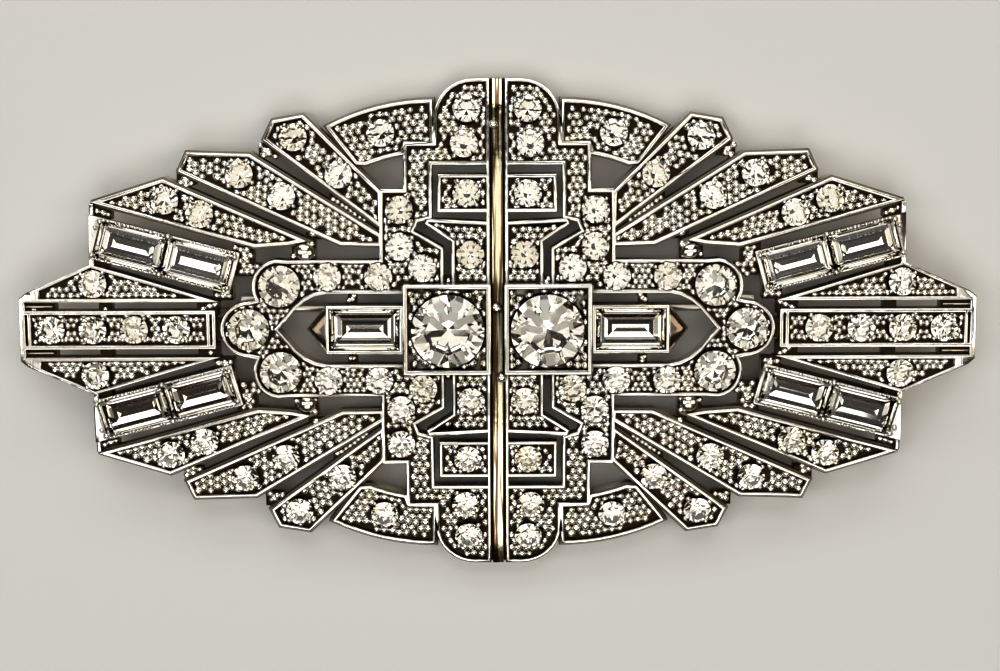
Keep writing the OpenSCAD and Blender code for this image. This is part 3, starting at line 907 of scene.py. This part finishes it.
class BeadMap:
    """Beads laid so far, so that a new one keeps its distance."""

    def __init__(self):
        self.cells = {}

    def add(self, x, y, gap):
        """Lays a bead unless another lies nearer than the gap, and tells whether it did."""
        cell = (math.floor(x), math.floor(y))
        for i in (-1, 0, 1):
            for j in (-1, 0, 1):
                for other in self.cells.get((cell[0] + i, cell[1] + j), []):
                    if math.dist(other, (x, y)) < gap:
                        return False
        self.cells.setdefault(cell, []).append((x, y))
        return True


def field_points(angle, pitch, corners):
    """Rows of a field in its own direction, every other row shifted, then loose points to fill up."""
    turn = math.radians(angle)
    along = Vector((math.cos(turn), math.sin(turn)))
    across = Vector((-along.y, along.x))
    middle = Vector((sum(c[0] for c in corners), sum(c[1] for c in corners))) / len(corners)
    reach = max((Vector(c) - middle).length for c in corners)
    count = int(reach / (pitch * BEAD_ROW)) + 1
    for row in range(-count, count + 1):
        for step in range(-count, count + 1):
            point = middle + pitch * (along * (step + 0.5 * (row % 2)) + across * BEAD_ROW * row)
            if inside(point.x, point.y, corners):
                yield point.x, point.y
    low = [min(c[k] for c in corners) for k in (0, 1)]
    high = [max(c[k] for c in corners) for k in (0, 1)]
    for _ in range(int(FILL_TRIES * (high[0] - low[0]) * (high[1] - low[1]))):
        x, y = random.uniform(low[0], high[0]), random.uniform(low[1], high[1])
        if inside(x, y, corners):
            yield x, y


def bead_at(place, r, tall=1.0):
    """A bead a little out of round, turned any way, its middle sunk so that neighbours run together."""
    size = Matrix.Diagonal((r * random.uniform(*BEAD_LONG), r * random.uniform(*BEAD_WIDE), r * tall, 1))
    sunk = Matrix.Translation((0, 0, -BEAD_SUNK * r * tall))
    return place @ sunk @ Matrix.Rotation(random.uniform(0, math.tau), 4, "Z") @ size


def floor_beads(tree):
    """Beads on the sunk floors of the panels and links, wherever the floor is wide enough."""
    places = []
    laid = BeadMap()
    for angle, pitch, corners in BEAD_FIELDS + LINK_FIELDS:
        loose = BEAD_SHIFT * pitch
        for _, sx, sy in QUARTERS:
            for x, y in field_points(angle, pitch, corners):
                x = sx * (x + random.uniform(-loose, loose))
                y = sy * (y + random.uniform(-loose, loose))
                if on_floor(tree, x, y, BEAD_REACH * pitch) and laid.add(x, y, BEAD_GAP * pitch):
                    r = pitch * random.uniform(*BEAD_SIZE)
                    places.append(bead_at(on_dome(x, y, -FLOOR_DEPTH), r, random.uniform(*BEAD_TALL)))
    return places


# Beads of the square settings: tries for each, least gap, floor needed round each, how exactly that
# floor is told by its height, radius, height in radii
SQUARE_TRIES = 6000
SQUARE_GAP = 0.6
SQUARE_REACH = 0.15
SQUARE_TOLERANCE = 0.02
SQUARE_BEAD_R = (0.38, 0.5)
SQUARE_BEAD_TALL = (1.4, 1.8)


def square_beads(tree):
    """Taller beads in the corners round each large stone."""
    places = []
    floor = APEX_Z + SQUARE_RISE - SQUARE_FLOOR
    laid = BeadMap()
    steps = [(0, 0), (SQUARE_REACH, 0), (-SQUARE_REACH, 0), (0, SQUARE_REACH), (0, -SQUARE_REACH)]
    for _, sx in HALVES:
        for _ in range(SQUARE_TRIES):
            x = sx * random.uniform(*SQUARE_X)
            y = random.uniform(-SQUARE_W / 2, SQUARE_W / 2)
            lows = [abs(height_at(tree, x + dx, y + dy) - floor) < SQUARE_TOLERANCE for dx, dy in steps]
            if all(lows) and laid.add(x, y, SQUARE_GAP):
                place = Matrix.Translation((x, y, floor))
                r = random.uniform(*SQUARE_BEAD_R)
                places.append(bead_at(place, r, random.uniform(*SQUARE_BEAD_TALL)))
    return places


# Prongs: how many hold a stone, radius and its spread, depth under the dome, distance out of the
# stone's edge, turn of the first, shift of each, depth of the frame below which none can stand
PRONG_COUNT = 4
PRONG_R = 0.22
PRONG_SPREAD = (0.85, 1.1)
PRONG_SINK = 0.14
PRONG_OUT = 0.12
PRONG_FIRST = (0.6, 1.0)
PRONG_SHIFT = 0.12
PRONG_DEEPEST = 0.6


def prongs(tree):
    """Beads pushed against the edge of every small stone."""
    places = []
    stones = [(sx * x, sy * y) for _, sx, sy in QUARTERS for row in STONE_ROWS.values() for x, y in row]
    stones += [(sx * x, 0.0) for _, sx in HALVES for x in END_STONES_X]
    for cx, cy in stones:
        first = random.uniform(*PRONG_FIRST)
        for i in range(PRONG_COUNT):
            turn = first + math.tau * i / PRONG_COUNT + random.uniform(-PRONG_SHIFT, PRONG_SHIFT)
            reach = SMALL["r"] + PRONG_OUT
            x, y = cx + reach * math.cos(turn), cy + reach * math.sin(turn)
            if depth_at(tree, x, y) < PRONG_DEEPEST:
                places.append(bead_at(on_dome(x, y, -PRONG_SINK), PRONG_R * random.uniform(*PRONG_SPREAD)))
    return places


# Rows of solder along the walls of a slanting bar: distance from its middle line, and half a row's length
BAR_SIDE = BAR_STONE["w"] / 2 + 0.08
BAR_END = BAR_PITCH
# Claws of a slanting bar: distance along it and across it, radius
BAR_CLAWS = [
    (0.0, BAR_SIDE, 0.3),
    (0.0, -BAR_SIDE, 0.32),
    (-BAR_END, BAR_SIDE - 0.3, 0.26),
    (-BAR_END, -BAR_SIDE + 0.3, 0.26),
    (BAR_END, BAR_SIDE - 0.2, 0.3),
    (BAR_END + 0.25, BAR_SIDE - 0.75, 0.24),
    (BAR_END, -BAR_SIDE + 0.2, 0.28),
]
CLAW_TALL = 1.4
CLAW_LIFT = 0.02
# Blobs of solder on the links of a quarter: centre, radius
LINK_BLOBS = [
    (15.3, 6.15, 0.95), (14.6, 7.7, 0.42), (18.2, 14.15, 0.42), (24.7, 11.95, 0.4), (31.2, 9.3, 0.36),
    (20.0, 5.7, 0.5), (21.7, 2.9, 0.42), (3.9, 3.65, 0.42), (11.55, 2.4, 0.35), (22.9, 1.9, 0.38),
]
# Blobs of solder on the centre rod: centre, radius
ROD_BLOBS = [(-0.3, 16.1, 0.42), (-0.1, 1.7, 0.46), (0.3, -3.9, 0.44)]
BLOB_TALL = 0.8
LINK_BLOB_DEPTH = FLOOR_DEPTH + 0.05
ROD_BLOB_LIFT = RIDGE_RISE - 0.1
# Grains of solder on the walls of the slanting bars: distance apart, where in its stretch each stands,
# share of stretches that have one, radius, height in radii, height over the dome
GRAIN_PITCH = 0.32
GRAIN_PLACE = (0.3, 0.7)
GRAIN_SHARE = 0.75
GRAIN_R = (0.13, 0.19)
GRAIN_TALL = 0.9
GRAIN_LIFT = 0.04


def setting_beads():
    """Claws and grains of solder on the slanting bars, and blobs of it on the links and the centre rod."""
    places = []
    for _, sx, sy in QUARTERS:
        for along, across, r in BAR_CLAWS:
            place = bar_place(sx, sy, along) @ Matrix.Translation((0, sy * across, CLAW_LIFT))
            places.append(bead_at(place, r, CLAW_TALL))
        for x, y, r in LINK_BLOBS:
            places.append(bead_at(on_dome(sx * x, sy * y, -LINK_BLOB_DEPTH), r, BLOB_TALL))
        for row in (BAR_SIDE, -BAR_SIDE):
            for i in range(int(2 * BAR_END / GRAIN_PITCH)):
                along = -BAR_END + GRAIN_PITCH * (i + random.uniform(*GRAIN_PLACE))
                if random.random() < GRAIN_SHARE:
                    place = bar_place(sx, sy, along) @ Matrix.Translation((0, row, GRAIN_LIFT))
                    places.append(bead_at(place, random.uniform(*GRAIN_R), GRAIN_TALL))
    for x, y, r in ROD_BLOBS:
        places.append(bead_at(on_dome(x, y, ROD_BLOB_LIFT), r, BLOB_TALL))
    return places


def make_frame_pieces():
    """The casting and, as a piece of its own, all that is paved on it."""
    piece = copy_cad_piece("frame", "cast_frame")
    piece.data.update()
    tree = BVHTree.FromPolygons(
        [v.co.copy() for v in piece.data.vertices], [tuple(f.vertices) for f in piece.data.polygons]
    )
    round_edges(piece, EDGE_ROUND)
    bead = make_bead()
    places = floor_beads(tree) + square_beads(tree) + prongs(tree) + setting_beads()
    beads = copies_of(bead, places, "cast_beads")
    remove_master(bead)
    return piece, beads


def main():
    set_up_camera()
    set_up_studio()
    recess = make_recess_group()
    surface = make_cast_surface_group()
    cast, beads = make_frame_pieces()
    finish_piece(cast, "cast_metal", make_cast_metal(recess, surface))
    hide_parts("frame")
    finish_piece(beads, "cast_metal", make_bead_metal(surface))
    pin = copy_cad_piece("pin_back", "plain_pin")
    round_edges(pin, PIN_ROUND)
    finish_piece(pin, "pin_steel", make_pin_steel(surface))
    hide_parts("pin_back")
    make_stones(make_clear_glass(), make_foil())


main()
